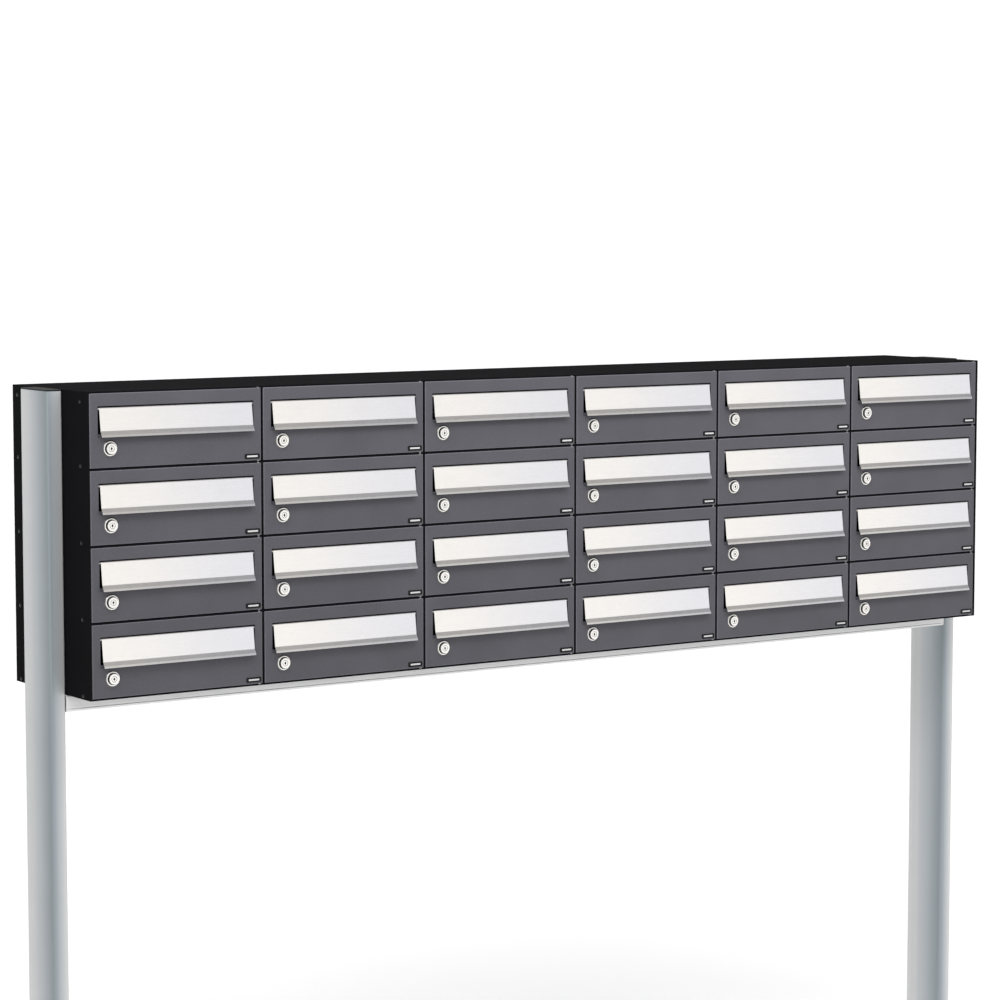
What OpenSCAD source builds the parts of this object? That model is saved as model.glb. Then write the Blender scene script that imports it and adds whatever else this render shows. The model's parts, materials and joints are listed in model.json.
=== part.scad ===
// Cluster mailbox unit: a bank of letter boxes carried between two posts.
// X runs along the bank, the doors face -Y and Z is up. The origin is on the floor, midway
// between the posts.

/* [Bank] */
// Columns of boxes
cols = 6; // [2:1:6]
// Rows of boxes
rows = 4; // [2:1:4]
// Width of one box, from grid line to grid line
box_w = 385; // [340:5:420]
// Height of one box, from grid line to grid line
box_h = 150; // [140:5:180]
// Depth of the bank
bank_d = 330; // [220:10:400]
// Height of the lowest grid line above the floor
bank_z = 1100; // [700:10:1200]

/* [Casing] */
// Thickness of the walls and shelves between boxes
wall_t = 2; // [1:0.5:3]
// Thickness of the side cover panels
side_t = 1.5; // [1:0.5:3]
// Thickness of the back panel
back_t = 1.5; // [1:0.5:3]

/* [Door] */
// Sheet thickness of a door
door_t = 1.2; // [1:0.1:1.5]
// Depth of the flange folded round a door
door_d = 16; // [14:1:18]
// Bend radius of the door's upright edges
door_r = 2; // [1.6:0.1:2.4]
// Gap round a door on its free sides
door_gap = 1.25; // [1:0.05:2]
// Gap beside a door on its hinge side
hinge_gap = 1.75; // [1.5:0.05:2.5]
// Distance of the hinge line from the door's right edge
hinge_in = 6; // [3.5:0.5:7]
// Distance of the hinge line from the door's front
hinge_back = 4; // [3.5:0.1:5]

/* [Letter slot] */
// Width of the slot
slot_w = 345; // [300:1:348]
// Height of the slot
slot_h = 60.5; // [55:0.5:65]
// Distance of the slot from the left grid line
slot_left = 20; // [18:1:26]
// Distance of the slot from the upper grid line
slot_top = 27.5; // [24:0.5:32]

/* [Flap] */
// Side gap between flap and slot
flap_gap = 3.5; // [3:0.1:5]
// Sheet thickness of a flap
flap_t = 1; // [0.8:0.1:1.2]
// Radius of the pivot rod
rod_r = 2; // [1.5:0.1:2.5]
// How far the flap leans out at its bend
flap_lean = 5.5; // [4:0.5:7]
// How much further the finger lip flares out
lip_out = 6; // [4:0.5:8]
// Height of the finger lip
lip_h = 11.5; // [9:0.5:13]

/* [Lock] */
// Lock centre from the left grid line
lock_x = 46; // [40:1:60]
// Lock centre above the lower grid line
lock_z = 40; // [30:1:42]
// Radius of the lock's face
lock_r = 10.5; // [9:0.5:12]
// Radius of the conical collar at its base
collar_r = 16; // [12.5:0.5:17]
// Length of the cam from the lock's centre
cam_len = 32; // [29:1:33]

/* [Name plate] */
// Width of the plate
plate_w = 34; // [20:1:38]
// Height of the plate
plate_h = 10; // [8:1:14]
// Thickness of the plate
plate_t = 1; // [0.5:0.5:2]

/* [Posts and beam] */
// Width of a post, along the bank
post_w = 35; // [30:5:60]
// Depth of a post
post_d = 120; // [60:5:140]
// Corner radius of the post profile
post_r = 5; // [4:1:8]
// Wall of the post profile
post_wall = 3; // [2:0.5:3.5]

/* [Base plates] */
// Width of a base plate, along the bank
base_w = 160; // [120:10:200]
// Depth of a base plate
base_d = 360; // [280:10:400]
// Thickness of a base plate
base_t = 10; // [8:1:15]
// Anchor hole spacing along the bank
anchor_x = 110; // [90:5:120]
// Anchor hole spacing front to back
anchor_y = 250; // [180:10:250]
// Radius of an anchor hole
anchor_r = 6.5; // [5:0.5:8]

/* [Hidden] */
$fn = 48;
overlap = 1;
wall_half = wall_t / 2;
grid_w = cols * box_w;
grid_h = rows * box_h;
grid_half = grid_w / 2;
front_y = -bank_d / 2;
rear_y = bank_d / 2 - back_t;
casing_half = grid_half + wall_half;
bank_half = casing_half + side_t;
post_x = bank_half + post_w / 2;
cap_t = 3;
post_top = bank_z + grid_h + wall_half - cap_t;
cap_plug_h = 18;
cap_plug_gap = 0.2;

// Door outline inside its box
door_l = wall_half + door_gap;
door_b = wall_half + door_gap;
door_w = box_w - 2 * wall_half - door_gap - hinge_gap;
door_h = box_h - 2 * (wall_half + door_gap);
hinge_x = door_l + door_w - hinge_in;

// Slot and flap inside their box
slot_top_z = box_h - slot_top;
slot_z = slot_top_z - slot_h;
flap_l = slot_left + flap_gap;
flap_w = slot_w - 2 * flap_gap;
curl_r = rod_r + flap_t;
rod_z = slot_top_z - curl_r - 2;
rod_y = curl_r + 0.5;
running_gap = 0.05;
seat_gap = 0.05;
lip_low_z = slot_z + 0.5;
bend_z = lip_low_z + lip_h;
bend_y = rod_y - curl_r - flap_lean;
cheek_t = 1.2;
cheek_d = 9;
cheek_lap = 2;

// Stop that a flap rests on
stop_x = flap_l + 0.5;
stop_z = slot_z + 0.5;
stop_h = 6;
stop_gap = 0.3;
lip_back_y = bend_y + flap_t - lip_out * (bend_z - stop_z - stop_h) / lip_h;

// Hinge pins
pin_r = 2;
pin_reach = 7.5;
pin_collar_r = 3.2;
pin_collar_h = door_gap - 0.25;

// Lock
barrel_r = 9.5;
barrel_gap = 0.1;
barrel_end = door_d + 2.2;
cam_y = barrel_end + seat_gap;
collar_h = 2.2;
collar_top_r = 12;
face_h = 7;
face_bevel = 0.6;
key_r = 1.7;
key_depth = 2;
nut_r = 13.5;
nut_h = 5;
cam_t = 2.5;
cam_w = 14;
cam_screw_r = 5;
cam_screw_h = 3;

// Name plate's centre
plate_margin = 4;
plate_x = door_l + door_w - plate_margin - plate_w / 2;
plate_z = door_b + plate_margin + plate_h / 2;

// Strike that the cam catches behind and the door closes against
strike_t = 1.5;
strike_w = 18;
strike_h = 20;
strike_base_d = 20;
strike_y = door_d + 0.3;

// Fixings
rivet_r = 2;
rivet_head_r = 4;
rivet_head_top_r = 2.8;
rivet_head_h = 1.6;
rivet_tail_r = 3;
rivet_tail_h = 1.5;
rivet_ys = [31, bank_d - 22];
rivet_zs = concat([for (r = [0:rows - 1]) r * box_h + 6], [grid_h - 19]);
bolt_r = 4;
bolt_hole_r = 4.2;
bolt_head_r = 7;
bolt_head_h = 4.5;
bolt_nut_r = 6.5;
bolt_nut_h = 8;
bolt_zs = [for (r = [0:rows - 1]) (r + 0.5) * box_h];
beam_bolt_xs = [for (c = [0.5, floor(cols / 2) - 0.5]) for (s = [-1, 1]) s * (grid_half - c * box_w)];

function door_name(r, c) = str("door_r", r, "c", c);
function flap_name(r, c) = str("flap_r", r, "c", c);

// Moves a piece from its box's own corner to the box in row r (1 is the top) and column c.
// The corner is the lower left grid crossing, in the plane of the bank's front.
module in_box(r, c) {
    translate([(c - 1) * box_w - grid_half, front_y, bank_z + (rows - r) * box_h])
        children();
}

module every_box() {
    for (r = [1:rows])
        for (c = [1:cols])
            in_box(r, c)
                children();
}

// A cylinder along X, from x = 0
module rod_x(radius, length) {
    rotate([0, 90, 0])
        cylinder(r = radius, h = length);
}

// A cylinder or cone along Y, from y = 0 towards the back
module disc_y(r_front, r_back, length) {
    rotate([-90, 0, 0])
        cylinder(r1 = r_front, r2 = r_back, h = length);
}

// A rectangle with round corners, centred
module round_rect(w, h, r) {
    square([w - 2 * r, h], center = true);
    square([w, h - 2 * r], center = true);
    for (x = [-1, 1])
        for (y = [-1, 1])
            translate([x * (w / 2 - r), y * (h / 2 - r)])
                circle(r);
}

// Holes that the side rivets and the post bolts pass through, in the side at s = -1 or 1
module side_holes(s) {
    for (y = rivet_ys)
        for (z = rivet_zs)
            translate([s * grid_half - box_w / 8, front_y + y, bank_z + z])
                rod_x(rivet_r + running_gap, box_w / 4);
    for (z = bolt_zs)
        translate([s * grid_half - box_w / 8, 0, bank_z + z])
            rod_x(bolt_hole_r, box_w / 4);
}

module casing_walls() {
    color("#1b1b1e")
        difference() {
            for (r = [0:rows - 1])
                for (c = [0:cols])
                    translate([c * box_w - casing_half, front_y, bank_z + r * box_h + wall_half])
                        cube([wall_t, bank_d - back_t, box_h - wall_t]);
            for (s = [-1, 1])
                side_holes(s);
        }
}

module casing_shelves() {
    color("#202023")
        difference() {
            for (r = [0:rows])
                translate([-casing_half, front_y, bank_z + r * box_h - wall_half])
                    cube([2 * casing_half, bank_d - back_t, wall_t]);
            for (x = beam_bolt_xs)
                translate([x, 0, bank_z - wall_t])
                    cylinder(r = bolt_hole_r, h = 2 * wall_t);
        }
}

module back_panel() {
    color("#19191c")
        translate([-casing_half, rear_y, bank_z - wall_half])
            cube([2 * casing_half, back_t, grid_h + wall_t]);
}

module side_panels() {
    color("#161618")
        difference() {
            for (s = [-1, 1])
                translate([s * (casing_half + side_t / 2) - side_t / 2, front_y, bank_z - wall_half])
                    cube([side_t, bank_d, grid_h + wall_t]);
            for (s = [-1, 1])
                side_holes(s);
        }
}

// A blind rivet along +X, with its head on the plane x = 0 and its tail behind both sheets
module rivet() {
    rotate([0, 90, 0]) {
        cylinder(r1 = rivet_head_r, r2 = rivet_head_top_r, h = rivet_head_h);
        translate([0, 0, -side_t - wall_t])
            cylinder(r = rivet_r, h = side_t + wall_t + rivet_head_h / 2);
        translate([0, 0, -side_t - wall_t - rivet_tail_h])
            cylinder(r = rivet_tail_r, h = rivet_tail_h);
    }
}

module side_rivets() {
    color("#2a2a2d")
        for (s = [0, 1])
            mirror([s, 0, 0])
                for (y = rivet_ys)
                    for (z = rivet_zs)
                        translate([bank_half, front_y + y, bank_z + z])
                            rivet();
}

// A bolt along +Z with its head below z = 0, through a stack of sheets into a rivet nut
module bolt(stack) {
    translate([0, 0, -bolt_head_h])
        cylinder(r = bolt_head_r, h = bolt_head_h);
    cylinder(r = bolt_r, h = stack + bolt_nut_h);
    translate([0, 0, stack])
        cylinder(r = bolt_nut_r, h = bolt_nut_h);
}

module bank_bolts() {
    color("silver") {
        for (s = [0, 1])
            mirror([s, 0, 0])
                for (z = bolt_zs)
                    translate([grid_half - wall_half, 0, bank_z + z])
                        rotate([0, 90, 0])
                            bolt(wall_t + side_t + post_wall);
        for (x = beam_bolt_xs)
            translate([x, 0, bank_z + wall_half])
                rotate([180, 0, 0])
                    bolt(wall_t + post_wall);
    }
}

// A stud with a thrust collar, standing up from z = 0
module hinge_pin() {
    cylinder(r = pin_r, h = pin_reach);
    cylinder(r = pin_collar_r, h = pin_collar_h);
}

module door_hinge_pins() {
    color("silver")
        every_box() {
            translate([hinge_x, hinge_back, wall_half])
                hinge_pin();
            translate([hinge_x, hinge_back, box_h - wall_half])
                mirror([0, 0, 1])
                    hinge_pin();
        }
}

module door_strikes() {
    color("#3a3a3e")
        every_box()
            translate([wall_half, strike_y, lock_z - strike_h / 2]) {
                cube([strike_w, strike_t, strike_h]);
                cube([strike_t, strike_base_d, strike_h]);
            }
}

module posts() {
    color("#b9bdc0")
        difference() {
            for (s = [-1, 1])
                translate([s * post_x, 0, base_t])
                    linear_extrude(post_top - base_t)
                        difference() {
                            round_rect(post_w, post_d, post_r);
                            round_rect(post_w - 2 * post_wall, post_d - 2 * post_wall, post_r - post_wall);
                        }
            for (s = [-1, 1])
                for (z = bolt_zs)
                    translate([s * (bank_half + post_wall / 2) - post_wall, 0, bank_z + z])
                        rod_x(bolt_hole_r, 2 * post_wall);
        }
}

module post_end_caps() {
    plug_w = post_w - 2 * (post_wall + cap_plug_gap);
    plug_d = post_d - 2 * (post_wall + cap_plug_gap);
    color("#2b2b2e")
        for (s = [-1, 1])
            translate([s * post_x, 0, post_top]) {
                linear_extrude(cap_t)
                    round_rect(post_w, post_d, post_r);
                translate([0, 0, -cap_plug_h])
                    linear_extrude(cap_plug_h + cap_t / 2)
                        round_rect(plug_w, plug_d, post_r - post_wall);
            }
}

// The beam is the post profile laid flat, open at its ends against the posts
module bottom_beam() {
    color("#c4c6c8")
        difference() {
            translate([-bank_half, 0, bank_z - wall_half - post_w / 2])
                rotate([90, 0, 90])
                    linear_extrude(2 * bank_half)
                        difference() {
                            round_rect(post_d, post_w, post_r);
                            round_rect(post_d - 2 * post_wall, post_w - 2 * post_wall, post_r - post_wall);
                        }
            for (x = beam_bolt_xs)
                translate([x, 0, bank_z - wall_half - 1.5 * post_wall])
                    cylinder(r = bolt_hole_r, h = 2 * post_wall);
        }
}

module base_plates() {
    color("#a9adb0")
        for (s = [-1, 1])
            translate([s * post_x, 0, 0])
                linear_extrude(base_t)
                    difference() {
                        round_rect(base_w, base_d, 2 * post_r);
                        for (x = [-1, 1])
                            for (y = [-1, 1])
                                translate([x * anchor_x / 2, y * anchor_y / 2])
                                    circle(anchor_r);
                    }
}

// Plan of a folded door: square at the back, bend radius at both front edges
module door_plan() {
    translate([0, door_r])
        square([door_w, door_d - door_r]);
    translate([door_r, 0])
        square([door_w - 2 * door_r, door_d]);
    for (x = [door_r, door_w - door_r])
        translate([x, door_r])
            circle(door_r);
}

// The cheek folded back beside the slot on its left, with the rod's ear and the flap's stop
module slot_cheek() {
    translate([slot_left - cheek_t, 0, slot_z - cheek_lap])
        cube([cheek_t, cheek_d, slot_h + 2 * cheek_lap]);
    translate([slot_left - cheek_t, door_t, stop_z])
        cube([stop_x + cheek_t - slot_left + cheek_t, cheek_t, stop_h]);
    translate([stop_x, lip_back_y + stop_gap, stop_z])
        cube([cheek_t, 2 * cheek_t - lip_back_y - stop_gap, stop_h]);
}

module door_panel() {
    difference() {
        union() {
            difference() {
                translate([door_l, 0, door_b]) {
                    difference() {
                        linear_extrude(door_h)
                            door_plan();
                        translate([door_t, door_t, door_t])
                            cube([door_w - 2 * door_t, door_d, door_h - 2 * door_t]);
                    }
                }
                translate([slot_left, -overlap, slot_z])
                    cube([slot_w, door_t + 2 * overlap, slot_h]);
            }
            slot_cheek();
            translate([2 * slot_left + slot_w, 0, 0])
                mirror([1, 0, 0])
                    slot_cheek();
        }
        translate([lock_x, -overlap, lock_z])
            disc_y(barrel_r + barrel_gap, barrel_r + barrel_gap, door_t + 2 * overlap);
        translate([hinge_x, hinge_back, 0])
            cylinder(r = pin_r + running_gap, h = box_h);
        for (x = [slot_left - cheek_t, slot_left + slot_w])
            translate([x - overlap, rod_y, rod_z])
                rod_x(rod_r + running_gap, cheek_t + 2 * overlap);
    }
}

// Lock body: threaded barrel behind the door, conical collar and round face before it
module lock_body() {
    difference() {
        union() {
            translate([0, -seat_gap, 0])
                disc_y(barrel_r, barrel_r, barrel_end);
            translate([0, -collar_h - seat_gap, 0])
                disc_y(collar_top_r, collar_r, collar_h);
            translate([0, face_bevel - face_h, 0])
                disc_y(lock_r, lock_r, face_h - face_bevel - seat_gap);
            translate([0, -face_h, 0])
                disc_y(lock_r - face_bevel, lock_r, face_bevel);
        }
        translate([0, -face_h - overlap, 0])
            disc_y(key_r, key_r, key_depth + overlap);
    }
}

module lock_nut() {
    difference() {
        translate([0, door_t + seat_gap, 0])
            rotate([-90, 0, 0])
                cylinder(r = nut_r, h = nut_h, $fn = 6);
        disc_y(barrel_r + seat_gap, barrel_r + seat_gap, door_t + nut_h + overlap);
    }
}

// Cam in its unlocked position, pointing down, with its screw
module lock_cam() {
    translate([0, cam_y, 0]) {
        disc_y(barrel_r, barrel_r, cam_t);
        translate([-cam_w / 2, 0, -cam_len])
            cube([cam_w, cam_t, cam_len]);
        translate([0, cam_t / 2, 0])
            disc_y(cam_screw_r, cam_screw_r, cam_t / 2 + cam_screw_h);
    }
}

module name_plate() {
    translate([0, -seat_gap, 0])
        rotate([90, 0, 0])
            linear_extrude(plate_t)
                round_rect(plate_w, plate_h, plate_h / 4);
}

module door() {
    color("#5b5a60")
        door_panel();
    translate([lock_x, 0, lock_z]) {
        color("#e8e6e2")
            lock_body();
        color("silver") {
            lock_nut();
            lock_cam();
        }
    }
    color("#151517")
        translate([plate_x, 0, plate_z])
            name_plate();
}

// Side profile of the flap's sheet, in y and z: down from the curl, then out along the lip
module flap_profile() {
    front = [
        [rod_y - curl_r, rod_z],
        [bend_y, bend_z],
        [bend_y - lip_out, lip_low_z]
    ];
    back = [for (i = [2:-1:0]) front[i] + [flap_t, 0]];
    polygon(concat(front, back));
    translate([rod_y, rod_z])
        difference() {
            circle(curl_r);
            circle(rod_r + seat_gap);
        }
}

module flap() {
    color("#e6e5e4")
        difference() {
            translate([flap_l, 0, 0])
                rotate([90, 0, 90])
                    linear_extrude(flap_w)
                        flap_profile();
            translate([flap_l - overlap, rod_y, rod_z])
                rod_x(rod_r + seat_gap, flap_w + 2 * overlap);
        }
    color("silver")
        translate([slot_left - 2 * cheek_t, rod_y, rod_z])
            rod_x(rod_r, slot_w + 4 * cheek_t);
}

casing_walls();
casing_shelves();
back_panel();
side_panels();
side_rivets();
bank_bolts();
door_hinge_pins();
door_strikes();
posts();
post_end_caps();
bottom_beam();
base_plates();
for (r = [1:rows])
    for (c = [1:cols]) {
        in_box(r, c) door();
        in_box(r, c) flap();
    }
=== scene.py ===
import json
import math

import bmesh
import bpy
from mathutils import Matrix, Vector


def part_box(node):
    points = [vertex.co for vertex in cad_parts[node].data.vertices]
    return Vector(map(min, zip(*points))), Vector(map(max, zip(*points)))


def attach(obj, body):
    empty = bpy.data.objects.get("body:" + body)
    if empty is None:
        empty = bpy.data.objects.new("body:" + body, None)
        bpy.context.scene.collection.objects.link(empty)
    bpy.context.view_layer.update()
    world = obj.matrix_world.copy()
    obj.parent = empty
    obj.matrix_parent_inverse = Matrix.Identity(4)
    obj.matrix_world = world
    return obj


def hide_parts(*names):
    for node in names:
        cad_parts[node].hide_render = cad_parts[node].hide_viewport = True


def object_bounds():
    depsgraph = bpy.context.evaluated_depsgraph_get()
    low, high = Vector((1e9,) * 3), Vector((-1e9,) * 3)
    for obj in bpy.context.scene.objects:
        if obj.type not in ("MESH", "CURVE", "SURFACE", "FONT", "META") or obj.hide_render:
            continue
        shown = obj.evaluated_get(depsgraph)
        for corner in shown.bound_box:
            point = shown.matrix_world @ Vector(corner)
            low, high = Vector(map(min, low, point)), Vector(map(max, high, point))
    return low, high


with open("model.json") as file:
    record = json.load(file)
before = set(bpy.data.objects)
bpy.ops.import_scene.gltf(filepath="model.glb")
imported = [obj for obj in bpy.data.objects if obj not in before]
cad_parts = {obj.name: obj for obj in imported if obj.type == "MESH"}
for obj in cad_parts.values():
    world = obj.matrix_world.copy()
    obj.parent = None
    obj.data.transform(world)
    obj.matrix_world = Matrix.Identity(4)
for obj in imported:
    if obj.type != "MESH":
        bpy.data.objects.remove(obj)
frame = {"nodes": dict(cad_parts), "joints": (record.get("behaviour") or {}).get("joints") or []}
cad_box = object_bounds()

# ------------------------------------------------------------------ places, in millimetres
MM = 0.001
# Thickness of the casing's walls and shelves, which stand on the lines between the boxes
WALL = 2.0


def box_mm(node):
    """Lowest and highest corner of a CAD node."""
    low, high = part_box(node)
    return low / MM, high / MM


walls_low, walls_high = box_mm("casing_walls")
COLS = sum(name.startswith("door_r1c") for name in frame["nodes"])
ROWS = sum(name.startswith("door_r") and name.endswith("c1") for name in frame["nodes"])
BOX_W = (walls_high.x - walls_low.x - WALL) / COLS
BOX_H = (walls_high.z - walls_low.z + WALL) / ROWS
# The bank's lower left grid crossing, in the plane of its front
GRID = Vector((walls_low.x + WALL / 2, walls_low.y, walls_low.z - WALL / 2))
BOXES = [(row, col) for row in range(1, ROWS + 1) for col in range(1, COLS + 1)]


def corner(row, col):
    """A box's lower left grid crossing, in the plane of the bank's front. Row 1 is the top one."""
    return GRID + Vector(((col - 1) * BOX_W, 0, (ROWS - row) * BOX_H))


def in_first_box(node):
    """A CAD node's corners, from the corner of box r1c1."""
    low, high = box_mm(node)
    return low - corner(1, 1), high - corner(1, 1)


def joint_point(name):
    """A joint's point, from the corner of box r1c1."""
    joint = next(j for j in frame["joints"] if j["name"] == name)
    return Vector(joint["pos_m"]) / MM - corner(1, 1)


door_low, door_high = in_first_box("door_r1c1")
flap_low, flap_high = in_first_box("flap_r1c1")
door_hinge = joint_point("door_r1c1_hinge")
flap_hinge = joint_point("flap_r1c1_hinge")

# Places in a box are measured from its lower left grid crossing: x to the right, y back from the
# plane of the bank's front, z up.

# Fits between the parts
RUNNING_GAP = 0.05
SEAT_GAP = 0.05

# Door: a folded tray on two pins
SHEET = 1.2
DOOR_DEPTH = 16
BEND = 2
PIN_R = 2

# Slot
SLOT_LEFT = 20
SLOT_W = 345
SLOT_LOW = 62
SLOT_H = 60.5
SLOT_MIDDLE = Vector((SLOT_LEFT + SLOT_W / 2, SLOT_LOW + SLOT_H / 2))

# Cheek folded back at each side of the slot, past its top and bottom by the lap, and the tab on it:
# how far it starts above the slot's lower edge, its height, and its end in front of the door
CHEEK_FRONT = 0.8
CHEEK_BACK = 9
CHEEK_LAP = 2
TAB_UP = 0.5
TAB_H = 6
TAB_END = -6.5

# Flap: its sheet hangs from a curl round the rod, leans out to a bend (in y and z) and flares into
# a lip with its edge turned down
ROD_R = 2
FLAP_SHEET = 1.0
FLAP_GAP = 3.5
FLAP_LEFT = SLOT_LEFT + FLAP_GAP
FLAP_RIGHT = SLOT_LEFT + SLOT_W - FLAP_GAP
FLAP_BEND = Vector((-4.5, 74))
LIP_EDGE_H = 4.2

# Lock: face and collar in front of the door, barrel, nut and cam behind it. The cam reaches from
# CAM_TOP above the lock's middle to CAM_REACH below it.
LOCK = Vector((46, 0, 40))
FACE_OUT = 7
COLLAR_R = 16
BARREL_R = 9.5
BARREL_GAP = 0.1
BARREL_END = 18.1
THREAD_TURNS = 16
THREAD_DEPTH = 0.35
NUT_R = 13.5
NUT_H = 5
CAM_Y = 18.25
CAM_T = 2.5
CAM_W = 14
CAM_TOP = 6
CAM_REACH = 32
SCREW_R = 5
SCREW_H = 3

# Name plate
PLATE_W = 34
PLATE_H = 10
PLATE_T = 1
PLATE_MARGIN = 4
PLATE = Vector((door_high.x - PLATE_MARGIN - PLATE_W / 2, 0, door_low.z + PLATE_MARGIN + PLATE_H / 2))

# Fasteners of the bank. A grip is the thickness that it holds together, and RIVET_UP is a rivet's
# height above its box's grid line.
RIVET_HEAD_R = 4
RIVET_GRIP = 3.5
RIVET_UP = 6
SIDE_BOLT_GRIP = 6.5
BEAM_BOLT_GRIP = 5

# Strikes: a base that lies along the box's left wall, and a tab that stands out to STRIKE_TIP
STRIKE_T = 1.5
STRIKE_H = 20
STRIKE_TIP = 19
STRIKE_BASE = 20

# Posts and beam
posts_low, posts_high = box_mm("posts")
caps_low, caps_high = box_mm("post_end_caps")
base_low, base_high = box_mm("base_plates")
beam_low, beam_high = box_mm("bottom_beam")
POST_W = posts_high.x - beam_high.x
POST_D = posts_high.y - posts_low.y
POST_X = posts_high.x - POST_W / 2
POST_R = 5
POST_CROWN = 0.9
POST_WALL = 3

# Anchor holes in the foot plates, from the post's middle
ANCHOR_R = 6.5
ANCHOR_X = 55
ANCHOR_Y = 125


# ------------------------------------------------------------------ camera, at the photograph's angle
def make_camera():
    """Places the camera, in metres from the bank's lower left corner."""
    from_corner = Vector((-2.704, -5.382, 0.942))
    yaw = math.radians(34.24)
    pitch = math.radians(-5.26)
    data = bpy.data.cameras.new("camera")
    data.sensor_width = 36
    data.lens = 111.8
    camera = bpy.data.objects.new("camera", data)
    bpy.context.scene.collection.objects.link(camera)
    camera.matrix_world = (
        Matrix.Translation(GRID * MM + from_corner)
        @ Matrix.Rotation(-yaw, 4, "Z")
        @ Matrix.Rotation(math.pi / 2 + pitch, 4, "X")
    )
    bpy.context.scene.camera = camera


make_camera()

# ------------------------------------------------------------------ outlines
# An outline runs along the named axis. Its own two directions are the other two axes, in their order.
ALONG = {
    "x": Matrix(((0, 0, 1, 0), (1, 0, 0, 0), (0, 1, 0, 0), (0, 0, 0, 1))),
    "y": Matrix(((1, 0, 0, 0), (0, 0, 1, 0), (0, 1, 0, 0), (0, 0, 0, 1))),
    "z": Matrix.Identity(4),
}
# Mirrors left to right
MIRROR = Matrix.Scale(-1, 4, (1, 0, 0))


def arc(centre, radius, start, end, steps):
    """Points on an arc, from start to end degrees."""
    angles = [math.radians(start + (end - start) * i / steps) for i in range(steps + 1)]
    return [Vector(centre) + radius * Vector((math.cos(a), math.sin(a))) for a in angles]


def circle(radius, steps):
    """Points on a circle round the middle."""
    return arc((0, 0), radius, 0, 360, steps)[:-1]


def rounded_rect(width, height, radius, steps=6, centre=(0, 0)):
    """Outline of a rectangle with round corners."""
    outline = []
    for sx, sy, start in ((1, 1, 0), (-1, 1, 90), (-1, -1, 180), (1, -1, 270)):
        middle = Vector(centre) + Vector((sx * (width / 2 - radius), sy * (height / 2 - radius)))
        outline += arc(middle, radius, start, start + 90, steps)
    return outline


def crowned_rect(width, depth, radius, crown, steps=8, face_steps=12):
    """A rectangle with round corners, whose faces bulge by crown at their middles."""
    points = rounded_rect(width - 2 * crown, depth - 2 * crown, radius, steps)
    bends = [points[i:i + steps + 1] for i in range(0, len(points), steps + 1)]
    outline = []
    for bend, after in zip(bends, bends[1:] + bends[:1]):
        outline += bend
        start = bend[-1]
        end = after[0]
        on = (end - start).normalized()
        outward = Vector((on.y, -on.x))
        for i in range(1, face_steps):
            share = i / face_steps
            outline.append(start.lerp(end, share) + outward * crown * 4 * share * (1 - share))
    return outline


def bent_path(points, radii, steps=6):
    """The path through points, with a bend of each radius at the points between."""
    path = [Vector(points[0])]
    for before, here, after, radius in zip(points, points[1:], points[2:], radii):
        back = (Vector(before) - Vector(here)).normalized()
        on = (Vector(after) - Vector(here)).normalized()
        half = back.angle(on) / 2
        centre = Vector(here) + (back + on).normalized() * radius / math.sin(half)
        start = Vector(here) + back * radius / math.tan(half) - centre
        end = Vector(here) + on * radius / math.tan(half) - centre
        path += [centre + start.lerp(end, i / steps).normalized() * radius for i in range(steps + 1)]
    return path + [Vector(points[-1])]


def sheet_outline(path, thickness):
    """Outline of a sheet whose middle follows the path."""
    sides = ([], [])
    for i, point in enumerate(path):
        on = (path[min(i + 1, len(path) - 1)] - path[max(i - 1, 0)]).normalized()
        across = Vector((-on.y, on.x)) * thickness / 2
        sides[0].append(point + across)
        sides[1].append(point - across)
    return sides[0] + sides[1][::-1]


# ------------------------------------------------------------------ mesh tools
# Every mesh has this many material slots while it is being built.
MATERIAL_SLOTS = 3
# Edges that turn by less than so many degrees are shaded smooth.
SMOOTH_BELOW = 40


def bridge(bm, low, high):
    """Faces between two closed rings of vertices. A ring may be one vertex, repeated."""
    for corners in zip(low, low[1:] + low[:1], high[1:] + high[:1], high):
        bm.faces.new(list(dict.fromkeys(corners)))


def turned_to(bm, axis):
    """The same mesh, turned from along z to along an axis, with its faces looking outwards."""
    bm.transform(ALONG[axis])
    bmesh.ops.recalc_face_normals(bm, faces=bm.faces)
    return bm


def prism(outline, start, end, axis="z", hole=None):
    """An outline drawn out along an axis. A hole is an outline with the same number of points."""
    bm = bmesh.new()
    walls = []
    for loop in [outline, hole] if hole else [outline]:
        walls.append([[bm.verts.new((u, v, w)) for u, v in loop] for w in (start, end)])
    for low, high in walls:
        bridge(bm, low, high)
    for ends in zip(*walls):
        if hole:
            bridge(bm, *ends)
        else:
            bm.faces.new(ends[0])
    return turned_to(bm, axis)


def lathe(profile, axis="z", segments=48):
    """A profile of (radius, height) points turned round an axis."""
    bm = bmesh.new()
    rings = []
    for radius, height in profile:
        if radius == 0:
            rings.append([bm.verts.new((0, 0, height))] * segments)
        else:
            rings.append([bm.verts.new((x, y, height)) for x, y in circle(radius, segments)])
    for low, high in zip(rings, rings[1:]):
        bridge(bm, low, high)
    return turned_to(bm, axis)


def bar(radius, start, end, axis="z", segments=48):
    """A round bar from start to end along an axis."""
    return lathe([(0, start), (radius, start), (radius, end), (0, end)], axis, segments)


def block(low, high):
    """A box between two corners."""
    outline = [(low[0], low[1]), (high[0], low[1]), (high[0], high[1]), (low[0], high[1])]
    return prism(outline, low[2], high[2])


def at(bm, place):
    """The same mesh, moved by a vector or a matrix."""
    bm.transform(place if isinstance(place, Matrix) else Matrix.Translation(Vector(place)))
    return bm


def coloured(bm, slot_index):
    """The same mesh, with all its faces in one material slot."""
    for face in bm.faces:
        face.material_index = slot_index
    return bm


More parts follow.
